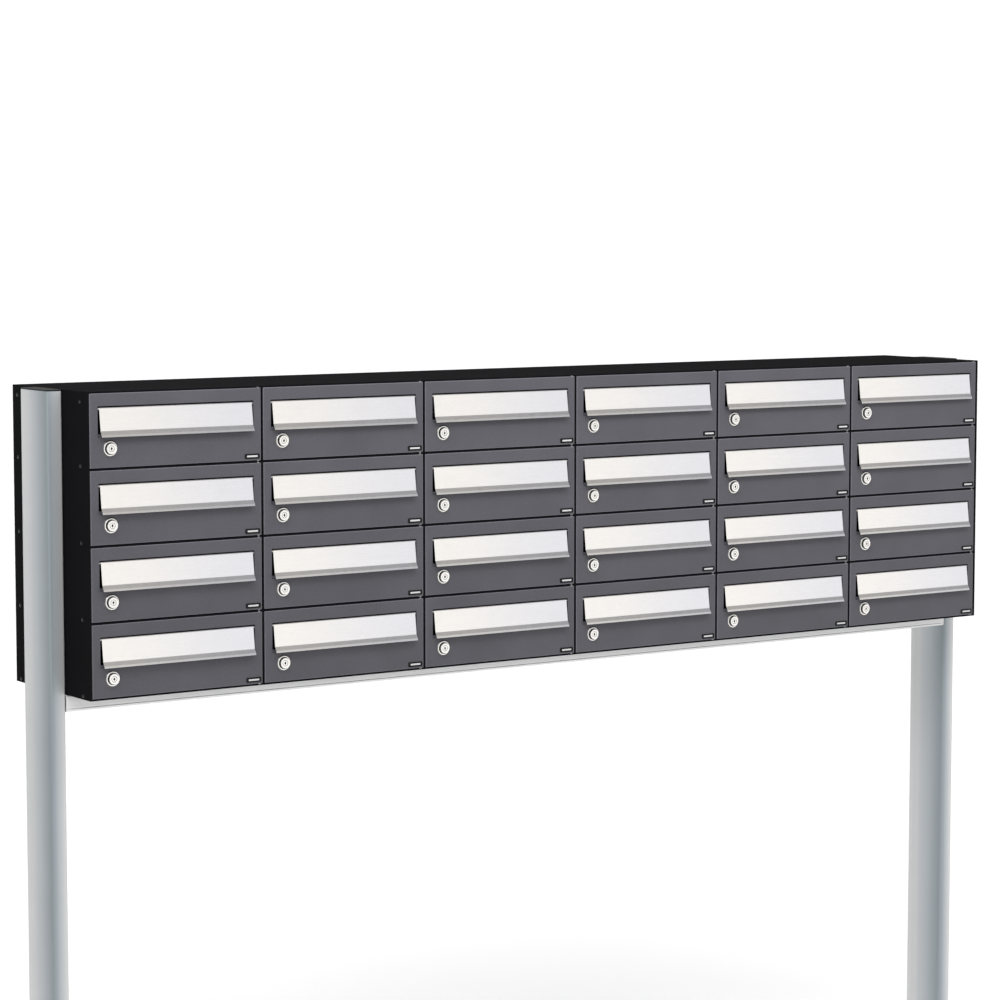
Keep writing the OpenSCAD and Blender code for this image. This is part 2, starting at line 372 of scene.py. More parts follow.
def joined(*parts):
    """One mesh from several, as separate shells."""
    bm = bmesh.new()
    for part in parts:
        mesh = bpy.data.meshes.new("part")
        part.to_mesh(mesh)
        part.free()
        bm.from_mesh(mesh)
        bpy.data.meshes.remove(mesh)
    return bm


def copies(bm, places):
    """One mesh from a copy at each place."""
    parts = [at(bm.copy(), place) for place in places]
    bm.free()
    return joined(*parts)


def at_both_posts(bm):
    """One mesh from a copy at each post."""
    return copies(bm, [(side * POST_X, 0, 0) for side in (-1, 1)])


def holder(bm):
    """A temporary object that holds a mesh."""
    mesh = bpy.data.meshes.new("held")
    bm.to_mesh(mesh)
    bm.free()
    for _ in range(MATERIAL_SLOTS):
        mesh.materials.append(None)
    obj = bpy.data.objects.new("held", mesh)
    bpy.context.scene.collection.objects.link(obj)
    return obj


def evaluated(obj):
    """An object's mesh with its modifiers applied."""
    graph = bpy.context.evaluated_depsgraph_get()
    return bpy.data.meshes.new_from_object(
        obj.evaluated_get(graph), preserve_all_data_layers=True, depsgraph=graph
    )


def drop(obj):
    """Removes a temporary object and its mesh."""
    mesh = obj.data
    bpy.data.objects.remove(obj)
    bpy.data.meshes.remove(mesh)


def modified(bm, *steps):
    """The mesh after modifiers, each a kind and its settings."""
    obj = holder(bm)
    for kind, settings in steps:
        modifier = obj.modifiers.new(kind, kind)
        for key, value in settings.items():
            setattr(modifier, key, value)
    mesh = evaluated(obj)
    result = bmesh.new()
    result.from_mesh(mesh)
    bpy.data.meshes.remove(mesh)
    drop(obj)
    return result


def combined(bm, operation, *tools):
    """The mesh after an exact boolean with each tool."""
    held = [holder(tool) for tool in tools]
    settings = [{"operation": operation, "object": tool, "solver": "EXACT"} for tool in held]
    result = modified(bm, *[("BOOLEAN", each) for each in settings])
    for tool in held:
        drop(tool)
    bmesh.ops.remove_doubles(result, verts=result.verts, dist=0.001)
    return result


def cut(bm, *tools):
    """The mesh with the tools cut out of it."""
    return combined(bm, "DIFFERENCE", *tools)


def softened(bm, width, segments=2, sharper_than=35):
    """The mesh with every edge that turns by more than so many degrees rounded."""
    limit = math.radians(sharper_than)
    edges = [e for e in bm.edges if e.is_manifold and e.calc_face_angle(0) > limit]
    bmesh.ops.bevel(
        bm, geom=edges, offset=width, segments=segments, profile=0.5, affect="EDGES", clamp_overlap=True
    )
    return bm


def finished(bm, name):
    """The mesh in metres, smooth except at its sharp edges, with its flat faces shaded flat."""
    limit = math.radians(SMOOTH_BELOW)
    bmesh.ops.recalc_face_normals(bm, faces=bm.faces)
    for face in bm.faces:
        face.smooth = True
    for edge in bm.edges:
        edge.smooth = edge.is_manifold and edge.calc_face_angle(0) < limit
    bm.transform(Matrix.Scale(MM, 4))
    obj = holder(bm)
    obj.modifiers.new("normals", "WEIGHTED_NORMAL").keep_sharp = True
    mesh = evaluated(obj)
    mesh.name = name
    drop(obj)
    return mesh


# ------------------------------------------------------------------ pieces
def piece(name, mesh, body, materials, replaces=()):
    """Adds a piece that rides on a body, in a finish, and stands for some CAD nodes."""
    obj = bpy.data.objects.new(name, mesh)
    bpy.context.scene.collection.objects.link(obj)
    while len(mesh.materials) > len(materials):
        mesh.materials.pop()
    for index, material in enumerate(materials):
        mesh.materials[index] = material
    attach(obj, body)
    if replaces:
        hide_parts(*replaces)


def frame_piece(name, bm, slot, material, *replaces):
    """Adds a piece of the fixed frame."""
    piece(name, finished(bm, name), "frame", [material], replaces)


def every_box(bm, name, body, materials, replaces=""):
    """Adds a copy of a mesh in each box. The braces in name, body and replaces take the box's tag."""
    template = finished(bm, name.format(""))
    for row, col in BOXES:
        tag = f"r{row}c{col}"
        mesh = template.copy()
        mesh.transform(Matrix.Translation(corner(row, col) * MM))
        nodes = [replaces.format(tag)] if replaces else []
        piece(name.format(tag), mesh, body.format(tag), materials, nodes)
    bpy.data.meshes.remove(template)


# ------------------------------------------------------------------ materials
class Finish:
    """A node material. Sizes inside it are in millimetres of the object's own space."""

    def __init__(self, name, metallic=0.0, **constants):
        self.material = bpy.data.materials.new(name)
        self.material.use_nodes = True
        self.tree = self.material.node_tree
        self.shader = self.tree.nodes["Principled BSDF"]
        self.shader.inputs["Metallic"].default_value = metallic
        for socket, value in constants.items():
            self.shader.inputs[socket.replace("_", " ")].default_value = value
        place = self.node("ShaderNodeTexCoord").outputs["Object"]
        self.place = self.scaled(place, (1 / MM,) * 3)

    def node(self, kind, inputs=(), **settings):
        """Adds a node with its settings. Each input is a value or another node's output."""
        made = self.tree.nodes.new(kind)
        for key, value in settings.items():
            setattr(made, key, value)
        for socket, value in dict(inputs).items():
            if isinstance(value, bpy.types.NodeSocket):
                self.tree.links.new(value, made.inputs[socket])
            else:
                made.inputs[socket].default_value = value
        return made

    def scaled(self, vector, scale):
        return self.node("ShaderNodeMapping", {"Vector": vector, "Scale": scale}).outputs["Vector"]

    def axis(self, name):
        """The place along one axis, in millimetres."""
        return self.node("ShaderNodeSeparateXYZ", {"Vector": self.place}).outputs[name]

    def noise(self, size, detail=2.0, stretch=(1, 1, 1), distortion=0.0):
        """Noise whose blobs are about that many millimetres across, times stretch along each axis."""
        vector = self.scaled(self.place, tuple(1 / (size * s) for s in stretch))
        inputs = {"Vector": vector, "Scale": 1.0, "Detail": detail, "Distortion": distortion}
        return self.node("ShaderNodeTexNoise", inputs).outputs["Fac"]

    def math(self, operation, a, b=0.0):
        return self.node("ShaderNodeMath", {0: a, 1: b}, operation=operation).outputs["Value"]

    def spread(self, value, low, high, to_low=0.0, to_high=1.0):
        """Value, with low to high stretched onto to_low to to_high."""
        inputs = {"Value": value, "From Min": low, "From Max": high, "To Min": to_low, "To Max": to_high}
        return self.node("ShaderNodeMapRange", inputs, interpolation_type="SMOOTHSTEP").outputs["Result"]

    def vary(self, noise, to_low=0.0, to_high=1.0):
        """From to_low to to_high, as a noise goes through the range that it is mostly in."""
        return self.spread(noise, 0.3, 0.7, to_low, to_high)

    def mix(self, factor, a, b):
        """Colour a where factor is 0, colour b where it is 1."""
        made = self.node("ShaderNodeMix", {"Factor": factor}, data_type="RGBA")
        for socket, value in ((made.inputs[6], a), (made.inputs[7], b)):
            if isinstance(value, bpy.types.NodeSocket):
                self.tree.links.new(value, socket)
            else:
                socket.default_value = (*value, 1)
        return made.outputs[2]

    def bump(self, *layers):
        """Bump from (height, depth in millimetres, strength) layers."""
        normal = None
        for height, depth, strength in layers:
            inputs = {"Height": height, "Distance": depth * MM, "Strength": strength}
            if normal:
                inputs["Normal"] = normal
            normal = self.node("ShaderNodeBump", inputs).outputs["Normal"]
        self.tree.links.new(normal, self.shader.inputs["Normal"])

    def connect(self, colour, roughness):
        """Ends the material, with its colour and its roughness."""
        self.tree.links.new(colour, self.shader.inputs["Base Color"])
        self.tree.links.new(roughness, self.shader.inputs["Roughness"])
        return self.material


def powder_coat(name, dark, light, rough, shine, edges=None):
    """Fine-texture powder coat: a pebbled skin, a faint mottle and slow drifts in colour.

    edges, if given, is a mask of a painted highlight along the folds, where the colour is lighter.
    """
    f = Finish(name, Specular_IOR_Level=shine)
    pebble = f.noise(0.7, detail=3)
    mottle = f.noise(3, detail=3)
    drift = f.noise(110)
    skin = f.math("ADD", f.math("MULTIPLY", pebble, 0.45), f.math("MULTIPLY", mottle, 0.35))
    tone = f.math("ADD", skin, f.math("MULTIPLY", drift, 0.2))
    colour = f.mix(f.vary(tone), dark, light)
    if edges:
        # Painted highlight along the folds: the colour lightens towards 1.7 times the light colour,
        # patchy with the mottle.
        painted_highlight = f.math("MULTIPLY", edges(f), f.spread(mottle, 0.3, 0.6, 0.55, 0.9))
        colour = f.mix(painted_highlight, colour, tuple(1.7 * part for part in light))
    f.bump((pebble, 0.12, 0.35))
    return f.connect(colour, f.vary(mottle, *rough))


def painted_door_edge_highlights(f):
    """Mask of the painted highlight along the folds round a door's front: 1 along the folds, 0 from a few
    millimetres inwards and behind.
    """
    def past(axis, start, period, low, high):
        """How far a place is outside low to high within its box, negative inside."""
        inside = f.math("FLOORED_MODULO", f.math("SUBTRACT", f.axis(axis), start), period)
        off_middle = f.math("ABSOLUTE", f.math("SUBTRACT", inside, (low + high) / 2))
        return f.math("SUBTRACT", off_middle, (high - low) / 2)

    sideways = past("X", GRID.x, BOX_W, door_low.x, door_high.x)
    upwards = past("Z", GRID.z, BOX_H, door_low.z, door_high.z)
    edge = f.spread(f.math("MAXIMUM", sideways, upwards), -2.2, -1.0)
    front = f.spread(f.axis("Y"), GRID.y + BEND, GRID.y + 2 * BEND, 1, 0)
    return f.math("MULTIPLY", edge, front)


def stainless():
    """Brushed along the flap, with a painted reflection that is warmer at its left end and cooler at its
    right, and faint smudges.
    """
    f = Finish("stainless_brushed", metallic=1.0)
    strands = f.noise(0.35, detail=3, stretch=(260, 1, 1))
    fine = f.noise(0.15, stretch=(90, 1, 1))
    smudge = f.noise(38, detail=3, distortion=0.6)
    # Painted reflection: each flap runs from warm at its left end to cool at its right, as if warm light
    # came from the left and cool light from the right.
    along = f.math("FRACT", f.math("DIVIDE", f.math("SUBTRACT", f.axis("X"), GRID.x), BOX_W))
    painted_reflection_tint = f.mix(f.spread(along, 0.05, 0.95), (0.97, 0.935, 0.895), (0.83, 0.825, 0.86))
    streaked = f.mix(f.spread(strands, 0.35, 0.65, 0.0, 0.1), painted_reflection_tint, (0.66, 0.66, 0.67))
    colour = f.mix(f.spread(smudge, 0.55, 0.8, 0.0, 0.1), streaked, (0.72, 0.7, 0.68))
    rough = f.math("ADD", f.vary(strands, 0.26, 0.33), f.spread(smudge, 0.4, 0.8, 0.0, 0.03))
    f.bump((strands, 0.006, 0.12), (fine, 0.004, 0.2))
    return f.connect(colour, rough)


def zinc():
    """Zinc plate: bluish and yellowish patches on a slightly grainy bright metal."""
    f = Finish("zinc_plate", metallic=1.0)
    patch = f.noise(7, detail=3, distortion=0.8)
    grain = f.noise(0.5, detail=3)
    colour = f.mix(f.spread(patch, 0.35, 0.65), (0.55, 0.57, 0.6), (0.68, 0.66, 0.6))
    f.bump((grain, 0.03, 0.3))
    return f.connect(colour, f.vary(grain, 0.28, 0.45))


def nickel(name, dark, light, rough):
    """Turned and nickel-plated brass, with haze and fine handling marks."""
    f = Finish(name, metallic=1.0)
    haze = f.noise(3.5, detail=3)
    marks = f.noise(0.25, stretch=(9, 1, 2), distortion=0.4)
    colour = f.mix(f.vary(haze), dark, light)
    f.bump((marks, 0.015, 0.25))
    return f.connect(colour, f.vary(marks, *rough))


def anodised(name, stretch, grey, painted_shade=None):
    """Satin anodised aluminium with die lines along its length. A shade mask, if given, adds painted
    shade, deepest where it is 1.
    """
    def toned(*colour):
        return tuple(grey * part for part in colour)

    f = Finish(name, metallic=0.35)
    lines = f.noise(0.9, detail=3, stretch=stretch)
    broad = f.noise(14, stretch=stretch)
    cloud = f.noise(160)
    colour = f.mix(f.vary(broad), toned(0.64, 0.645, 0.645), toned(0.69, 0.69, 0.685))
    # Painted shade: where the mask is high, the colour darkens towards a cool grey, then a deeper one.
    if painted_shade:
        depth = painted_shade(f)
        colour = f.mix(f.spread(depth, 0.05, 0.75), colour, toned(0.41, 0.445, 0.475))
        colour = f.mix(f.spread(depth, 0.55, 1.0, 0.0, 0.9), colour, toned(0.24, 0.28, 0.3))
    colour = f.mix(f.spread(lines, 0.5, 0.85, 0.0, 0.2), colour, toned(0.5, 0.52, 0.54))
    rough = f.math("ADD", f.vary(lines, 0.36, 0.46), f.vary(cloud, 0.0, 0.05))
    f.bump((broad, 0.05, 0.06), (lines, 0.02, 0.3))
    return f.connect(colour, rough)


def painted_post_shade(f):
    """Mask of the painted shade on a post: deepest along its front left and back right corners."""
    side = f.math("SIGN", f.axis("X"))
    from_middle = f.math("SUBTRACT", f.axis("X"), f.math("MULTIPLY", side, POST_X))
    across = f.math("DIVIDE", from_middle, POST_W)
    along = f.math("DIVIDE", f.axis("Y"), POST_D)
    return f.math("ABSOLUTE", f.math("ADD", across, along))


def plastic(name, dark, light, shine):
    """Moulded plastic with a fine spark-eroded grain."""
    f = Finish(name, Specular_IOR_Level=shine)
    grain = f.noise(0.45)
    flow = f.noise(22, detail=3, distortion=0.5)
    colour = f.mix(f.vary(flow), dark, light)
    f.bump((grain, 0.05, 0.3))
    return f.connect(colour, f.vary(grain, 0.42, 0.58))


def label_film():
    """A blank pale strip under a clear film."""
    f = Finish("label_film", IOR=1.5)
    fibre = f.noise(0.5, detail=3, stretch=(4, 1, 1))
    colour = f.mix(f.vary(fibre), (0.4, 0.4, 0.4), (0.5, 0.5, 0.5))
    f.bump((fibre, 0.01, 0.2))
    return f.connect(colour, f.vary(fibre, 0.25, 0.35))


def painted_keyway_shade():
    """Near-black painted shade over the walls of the keyway's cut, with a faint grain."""
    f = Finish("keyway_painted_shade", metallic=0.6)
    shade_grain = f.noise(0.6, detail=3)
    colour = f.mix(f.vary(shade_grain), (0.012, 0.011, 0.01), (0.04, 0.037, 0.032))
    return f.connect(colour, f.vary(shade_grain, 0.35, 0.6))


def weld_bead():
    """Rippled weld round a post's foot."""
    f = Finish("weld_bead", metallic=0.6)
    ripple = f.noise(1.6, stretch=(1, 1, 0.6), distortion=1.2)
    colour = f.mix(f.vary(ripple), (0.45, 0.46, 0.47), (0.66, 0.67, 0.67))
    f.bump((ripple, 0.2, 0.4))
    return f.connect(colour, f.vary(ripple, 0.42, 0.6))


def pale_floor():
    """Near-white floor that glows a little, so that it is as white as the studio round it."""
    f = Finish("pale_floor", Specular_IOR_Level=0.2, Emission_Color=(1, 1, 1, 1), Emission_Strength=0.46)
    patch = f.noise(900, detail=3)
    grain = f.noise(3)
    colour = f.mix(f.vary(patch), (0.95, 0.95, 0.95), (0.97, 0.97, 0.97))
    f.bump((grain, 0.1, 0.05))
    return f.connect(colour, f.vary(grain, 0.7, 0.85))


# The door coat carries a painted highlight along each door's folds.
anthracite = powder_coat(
    "anthracite_powder_coat",
    dark=(0.043, 0.0425, 0.0505), light=(0.0735, 0.0725, 0.0845), rough=(0.44, 0.56), shine=0.4,
    edges=painted_door_edge_highlights,
)
casing_black = powder_coat(
    "black_powder_coat",
    dark=(0.0036, 0.0036, 0.0042), light=(0.0058, 0.0058, 0.0066), rough=(0.8, 0.88), shine=0.035,
)
# Copy of the black powder coat for the back panel, glossier and painted lighter than the casing's:
# painted light, so that the back shows in the dim light behind the bank.
back_black_painted_lighter = powder_coat(
    "back_powder_coat_painted_lighter",
    dark=(0.0075, 0.0075, 0.0085), light=(0.0125, 0.0125, 0.014), rough=(0.5, 0.62), shine=0.3,
)
rivet_black = powder_coat(
    "black_rivet",
    dark=(0.004, 0.004, 0.004), light=(0.009, 0.009, 0.009), rough=(0.28, 0.42), shine=0.4,
)
stainless_steel = stainless()
zinc_steel = zinc()
face_nickel = nickel("nickel_face", (0.86, 0.84, 0.8), (0.94, 0.92, 0.89), (0.2, 0.34))
# The collar's nickel is painted far darker than the face's: painted shade in the groove and on the
# collar's walls, and a painted reflection of the black casing.
collar_nickel_painted_shade = nickel("nickel_collar_painted_shade", (0.11, 0.11, 0.11), (0.2, 0.195, 0.19), (0.3, 0.42))
keyway = painted_keyway_shade()
# The posts' colour carries a painted shade along their front left and back right corners.
post_aluminium = anodised("anodised_posts", (1, 1, 400), 0.82, painted_post_shade)
beam_aluminium = anodised("anodised_beam", (400, 1, 1), 1.0)
plate_aluminium = anodised("anodised_plate", (1, 300, 1), 0.85)
weld = weld_bead()
cap_plastic = plastic("cap_plastic", (0.012, 0.012, 0.013), (0.02, 0.02, 0.021), 0.2)
plate_black = plastic("name_plate_black", (0.005, 0.005, 0.006), (0.009, 0.009, 0.01), 0.12)
film = label_film()


# ------------------------------------------------------------------ doors
def door_panel():
    """Folded tray with the slot, the lock hole and the pin holes cut, and the slot's cheeks."""
    bm = block((door_low.x, 0, door_low.z), (door_high.x, DOOR_DEPTH, door_high.z))
    back = [f for f in bm.faces if all(v.co.y > DOOR_DEPTH - 0.1 for v in f.verts)]
    bmesh.ops.delete(bm, geom=back, context="FACES")
    front = [e for e in bm.edges if all(v.co.y < 0.1 for v in e.verts)]
    bmesh.ops.bevel(bm, geom=front, offset=BEND, segments=5, profile=0.5, affect="EDGES")
    bm = modified(bm, ("SOLIDIFY", {"thickness": SHEET, "offset": -1, "use_even_offset": True}))
    through = (-3, SHEET + 1, "y")
    slot = prism(rounded_rect(SLOT_W, SLOT_H, 1, 4, SLOT_MIDDLE), *through)
    lock_hole = at(bar(BARREL_R + BARREL_GAP, *through), LOCK)
    pin_hole = at(bar(PIN_R + RUNNING_GAP, 0, BOX_H, segments=32), (door_hinge.x, door_hinge.y, 0))
    bm = softened(cut(bm, slot, lock_hole, pin_hole), 0.22)
    cheek = slot_cheek()
    to_right = Matrix.Translation((2 * SLOT_MIDDLE.x, 0, 0)) @ MIRROR
    return joined(bm, cheek, at(cheek.copy(), to_right))


def slot_cheek():
    """The ear folded back beside the slot, with the rod's hole and the tab that the flap rests on."""
    depth = CHEEK_BACK - CHEEK_FRONT
    middle = (CHEEK_FRONT + depth / 2, SLOT_MIDDLE.y)
    outline = rounded_rect(depth, SLOT_H + 2 * CHEEK_LAP, 2, 5, middle)
    ear = prism(outline, SLOT_LEFT - SHEET, SLOT_LEFT, "x")
    hole = bar(ROD_R + RUNNING_GAP, -1, SHEET + 1, "x", 32)
    at(hole, (SLOT_LEFT - SHEET, flap_hinge.y, flap_hinge.z))
    behind = 1.5 * SHEET
    tab_x = FLAP_LEFT + 0.5 + SHEET / 2
    path = bent_path([(SLOT_LEFT - SHEET / 2, behind), (tab_x, behind), (tab_x, TAB_END)], [1.2])
    tab = prism(sheet_outline(path, SHEET), SLOT_LOW + TAB_UP, SLOT_LOW + TAB_UP + TAB_H)
    return joined(softened(cut(ear, hole), 0.2), softened(tab, 0.2))


def lock_body():
    """Conical collar, stepped face with a ring round the plug, keyway, and the threaded barrel behind."""
    front = -FACE_OUT
    plug = [(0, front + 0.35), (5.3, front + 0.35)]
    groove = [(5.55, front + 0.7), (5.85, front + 0.7)]
    ring = [(6.1, front + 0.1), (6.4, front), (9.7, front), (10.3, front + 0.25)]
    waist = [(10.5, front + 0.7), (10.5, -1.9)]
    raised = [(12.2, -1.9), (12.5, -2.15), (13.9, -2.05), (14.3, -1.7)]
    rim = [(COLLAR_R - 0.2, -0.5), (COLLAR_R, -0.3), (COLLAR_R - 0.1, -0.06), (BARREL_R, -SEAT_GAP)]
    root = BARREL_R - THREAD_DEPTH
    thread = []
    for turn in range(THREAD_TURNS):
        thread += [(root, SHEET + 0.1 + turn), (BARREL_R, SHEET + 0.6 + turn)]
    tip = [(root, BARREL_END - 0.5), (BARREL_R - 0.6, BARREL_END), (0, BARREL_END)]
    body = lathe(plug + groove + ring + waist + raised + rim + thread + tip, "y", 56)
    # Slot 1, the darker nickel, is painted shade: in the groove round the plug and on the collar's walls
    # outside its raised ring.
    for part in body.faces:
        place = part.calc_center_median()
        radius = math.hypot(place.x, place.z)
        in_groove = 5.3 < radius < 6.1
        on_raised = 12.4 < radius < 14.2
        part.material_index = int(in_groove or (place.y > front + 0.7 and not on_raised))
    # The keyway's cut takes slot 2, the near-black painted shade.
    round_key = bar(2.1, -9, front + 2.6, "y", 24)
    slot_key = prism(rounded_rect(1.5, 6.4, 0.5, 3), -9, front + 2.2, "y")
    return at(cut(body, coloured(round_key, 2), coloured(slot_key, 2)), LOCK)


def lock_nut():
    """Hexagon nut with chamfered corners, on the barrel behind the door."""
    low = SHEET + SEAT_GAP
    high = SHEET + NUT_H
    widest = NUT_R + 0.1
    flat = NUT_R - 0.9
    chamfer = [(0, low), (flat, low), (widest, low + 0.7), (widest, high - 0.7), (flat, high), (0, high)]
    nut = combined(prism(circle(NUT_R, 6), low, high, "y"), "INTERSECT", lathe(chamfer, "y"))
    return softened(cut(nut, bar(BARREL_R + RUNNING_GAP, -5, 12, "y")), 0.2)


def lock_cam():
    """Cam pointing down from the barrel's end."""
    end = CAM_Y + CAM_T
    arm = rounded_rect(CAM_W, CAM_REACH + CAM_TOP, 2.5, 5, (0, (CAM_TOP - CAM_REACH) / 2))
    hub = prism(circle(BARREL_R, 40), CAM_Y, end, "y")
    return softened(combined(prism(arm, CAM_Y, end, "y"), "UNION", hub), 0.3)


def cam_screw():
    """Pan head with a cross recess."""
    foot = CAM_Y + CAM_T
    head = [(0, foot), (SCREW_R - 0.1, foot), (SCREW_R, foot + 0.6), (4.3, foot + 2.2)]
    head += [(2.5, foot + SCREW_H - 0.05), (0, foot + SCREW_H)]
    recess = foot + 1.2
    level = block((-3, recess, -0.5), (3, foot + 5, 0.5))
    upright = block((-0.5, recess, -3), (0.5, foot + 5, 3))
    return cut(lathe(head, "y", 40), level, upright)


def lock_fittings():
    """What holds the lock and catches behind the strike."""
    return at(joined(lock_nut(), lock_cam(), cam_screw()), LOCK)


def name_plate():
    """Black plate with a blank pale strip."""
    plate = softened(prism(rounded_rect(PLATE_W, PLATE_H, 2.2), -PLATE_T - SEAT_GAP, -SEAT_GAP, "y"), 0.3)
    strip = softened(prism(rounded_rect(PLATE_W - 10, 3.4, 0.9, 4), -PLATE_T - 0.2, -PLATE_T, "y"), 0.06)
    return at(joined(coloured(plate, 0), coloured(strip, 1)), PLATE)


# ------------------------------------------------------------------ flaps
def flap_sheet():
    """Stainless sheet: curled round the rod, leaning out, flared into a lip with its edge turned down."""
    pivot = (flap_hinge.y, flap_hinge.z)
    curl = arc(pivot, ROD_R + RUNNING_GAP + FLAP_SHEET / 2, -60, 172.8, 22)
    lip_y = flap_low.y + FLAP_SHEET / 2 + SEAT_GAP
    lip_corner = (lip_y + 1.3, flap_low.z + LIP_EDGE_H)
    lip_end = (lip_y, flap_low.z + 0.1)
    path = curl[:-1] + bent_path([curl[-1], FLAP_BEND, lip_corner, lip_end], [3, 1.6])
    sheet = prism(sheet_outline(path, FLAP_SHEET), FLAP_LEFT, FLAP_RIGHT, "x")
    return softened(sheet, 0.16, sharper_than=50)


def flap_rod():
    """Pivot rod with chamfered ends."""
    left = flap_low.x
    right = flap_high.x
    chamfer = 0.4
    profile = [(0, left), (ROD_R - chamfer, left), (ROD_R, left + chamfer)]
    profile += [(ROD_R, right - chamfer), (ROD_R - chamfer, right), (0, right)]
    return at(lathe(profile, "x", 32), (0, flap_hinge.y, flap_hinge.z))


every_box(door_panel(), "door_panel_{}", "door_{}", [anthracite], "door_{}")
every_box(lock_body(), "lock_{}", "door_{}", [face_nickel, collar_nickel_painted_shade, keyway])
every_box(lock_fittings(), "lock_nut_and_cam_{}", "door_{}", [zinc_steel])
every_box(name_plate(), "name_plate_{}", "door_{}", [plate_black, film])
every_box(flap_sheet(), "flap_sheet_{}", "flap_{}", [stainless_steel], "flap_{}")
every_box(flap_rod(), "flap_rod_{}", "flap_{}", [zinc_steel])


# ------------------------------------------------------------------ casing
def from_cad(node, width=0.4):
    """A CAD node's shape with its edges rounded."""
    bm = bmesh.new()
    bm.from_mesh(frame["nodes"][node].data)
    bm.transform(Matrix.Scale(1 / MM, 4))
    bmesh.ops.remove_doubles(bm, verts=bm.verts, dist=0.01)
    bmesh.ops.dissolve_limit(bm, angle_limit=math.radians(1), verts=bm.verts, edges=bm.edges)
    return softened(bm, width)


def back_sheet():
    """The back panel, with the marks of the spot welds that hold it to the walls."""
    low, high = box_mm("back_panel")
    edge_in = 7
    mark = lathe([(0, -0.15), (2.2, -0.12), (2.9, 0.14), (3.3, 0.2), (3.8, -0.02)], "y", 20)
    across = [GRID.x + col * BOX_W for col in range(1, COLS)] + [low.x + edge_in, high.x - edge_in]
    up = [GRID.z + (row + share) * BOX_H for row in range(ROWS) for share in (0.2, 0.5, 0.8)]
    return joined(from_cad("back_panel"), copies(mark, [(x, high.y, z) for x in across for z in up]))


def on_both_sides(right):
    """The places on the right, and the same mirrored to the left."""
    return right + [MIRROR @ place for place in right]


def rivets():
    """Domed heads with the mandrel's dimple, and tails inside."""
    low, high = box_mm("side_rivets")
    head = [(0, 0.9), (0.9, 0.95), (1.1, 1.55), (1.9, 1.5), (3, 1.15), (3.8, 0.5)]
    head += [(RIVET_HEAD_R, 0.12), (RIVET_HEAD_R - 0.1, 0)]
    inside = -RIVET_GRIP
    tail = [(2, 0), (2, inside), (2.9, inside - 0.1), (3, inside - 0.5)]
    tail += [(2.6, inside - 1.4), (0, inside - 1.5)]
    rows = [low.y + RIVET_HEAD_R, high.y - RIVET_HEAD_R]
    levels = [GRID.z + row * BOX_H + RIVET_UP for row in range(ROWS)] + [high.z - RIVET_HEAD_R]
    plane = high.x - 1.6
    right = [Matrix.Translation((plane, y, z)) for y in rows for z in levels]
    return copies(lathe(head + tail, "x", 28), on_both_sides(right))


def bolt(grip):
    """Socket head above a grip, with a rivet nut below it."""
    head = [(0, -4.5), (6.2, -4.5), (6.8, -4.2), (7, -3.6), (7, -0.2), (6.8, 0), (4, 0)]
    nut = [(4, grip), (6.3, grip), (6.5, grip + 0.3), (6.5, grip + 7.5), (6, grip + 8), (0, grip + 8)]
    return cut(lathe(head + nut, "z", 40), prism(circle(3.4, 6), -6, -2))


def bolts():
    """Bolts from inside the end boxes into the posts, and from the bottom shelf into the beam."""
    side_plane = walls_high.x - WALL
    outwards = Matrix.Rotation(math.pi / 2, 4, "Y")
    levels = [GRID.z + (row + 0.5) * BOX_H for row in range(ROWS)]
    right = [Matrix.Translation((side_plane, 0, z)) @ outwards for z in levels]
    shelf_top = GRID.z + WALL / 2
    down = Matrix.Rotation(math.pi, 4, "X")
    across = [side * (GRID.x + col * BOX_W) for col in (0.5, COLS // 2 - 0.5) for side in (-1, 1)]
    on_beam = [Matrix.Translation((x, 0, shelf_top)) @ down for x in across]
    into_posts = copies(bolt(SIDE_BOLT_GRIP), on_both_sides(right))
    return joined(into_posts, copies(bolt(BEAM_BOLT_GRIP), on_beam))


def hinge_pins():
    """Studs with a thrust collar, below and above each door."""
    collar = [(0, 0), (3.1, 0), (3.2, 0.15), (3.2, 0.85), (3.1, 1)]
    stud = [(PIN_R, 1), (PIN_R, 7), (PIN_R - 0.5, 7.5), (0, 7.5)]
    flip = Matrix.Scale(-1, 4, (0, 0, 1))
    places = []
    for row, col in BOXES:
        foot = corner(row, col) + Vector((door_hinge.x, door_hinge.y, 0))
        places.append(Matrix.Translation(foot + Vector((0, 0, WALL / 2))))
        places.append(Matrix.Translation(foot + Vector((0, 0, BOX_H - WALL / 2))) @ flip)
    return copies(lathe(collar + stud, "z", 28), places)


def strikes():
    """Bent tabs that the cams catch behind, spot-welded to the walls."""
    front = DOOR_DEPTH + 0.3
    face = WALL / 2
    half = STRIKE_T / 2
    path = [(STRIKE_TIP, front + half), (face + half, front + half), (face + half, front + STRIKE_BASE)]
    outline = sheet_outline(bent_path(path, [2.2]), STRIKE_T)
    tab = softened(prism(outline, LOCK.z - STRIKE_H / 2, LOCK.z + STRIKE_H / 2), 0.3)
    spot = lathe([(0, 1.5), (1.4, 1.5), (2.4, 1.6), (2.8, 1.72), (3.2, 1.6), (3.3, 1.4)], "x", 24)
    spots = copies(spot, [(face, front + 13, LOCK.z + up) for up in (-5, 5)])
    return copies(joined(tab, spots), [corner(row, col) for row, col in BOXES])


frame_piece("box_walls", from_cad("casing_walls"), "casing_black", casing_black, "casing_walls")
frame_piece("box_shelves", from_cad("casing_shelves"), "casing_black", casing_black, "casing_shelves")
frame_piece("side_covers", from_cad("side_panels"), "casing_black", casing_black, "side_panels")
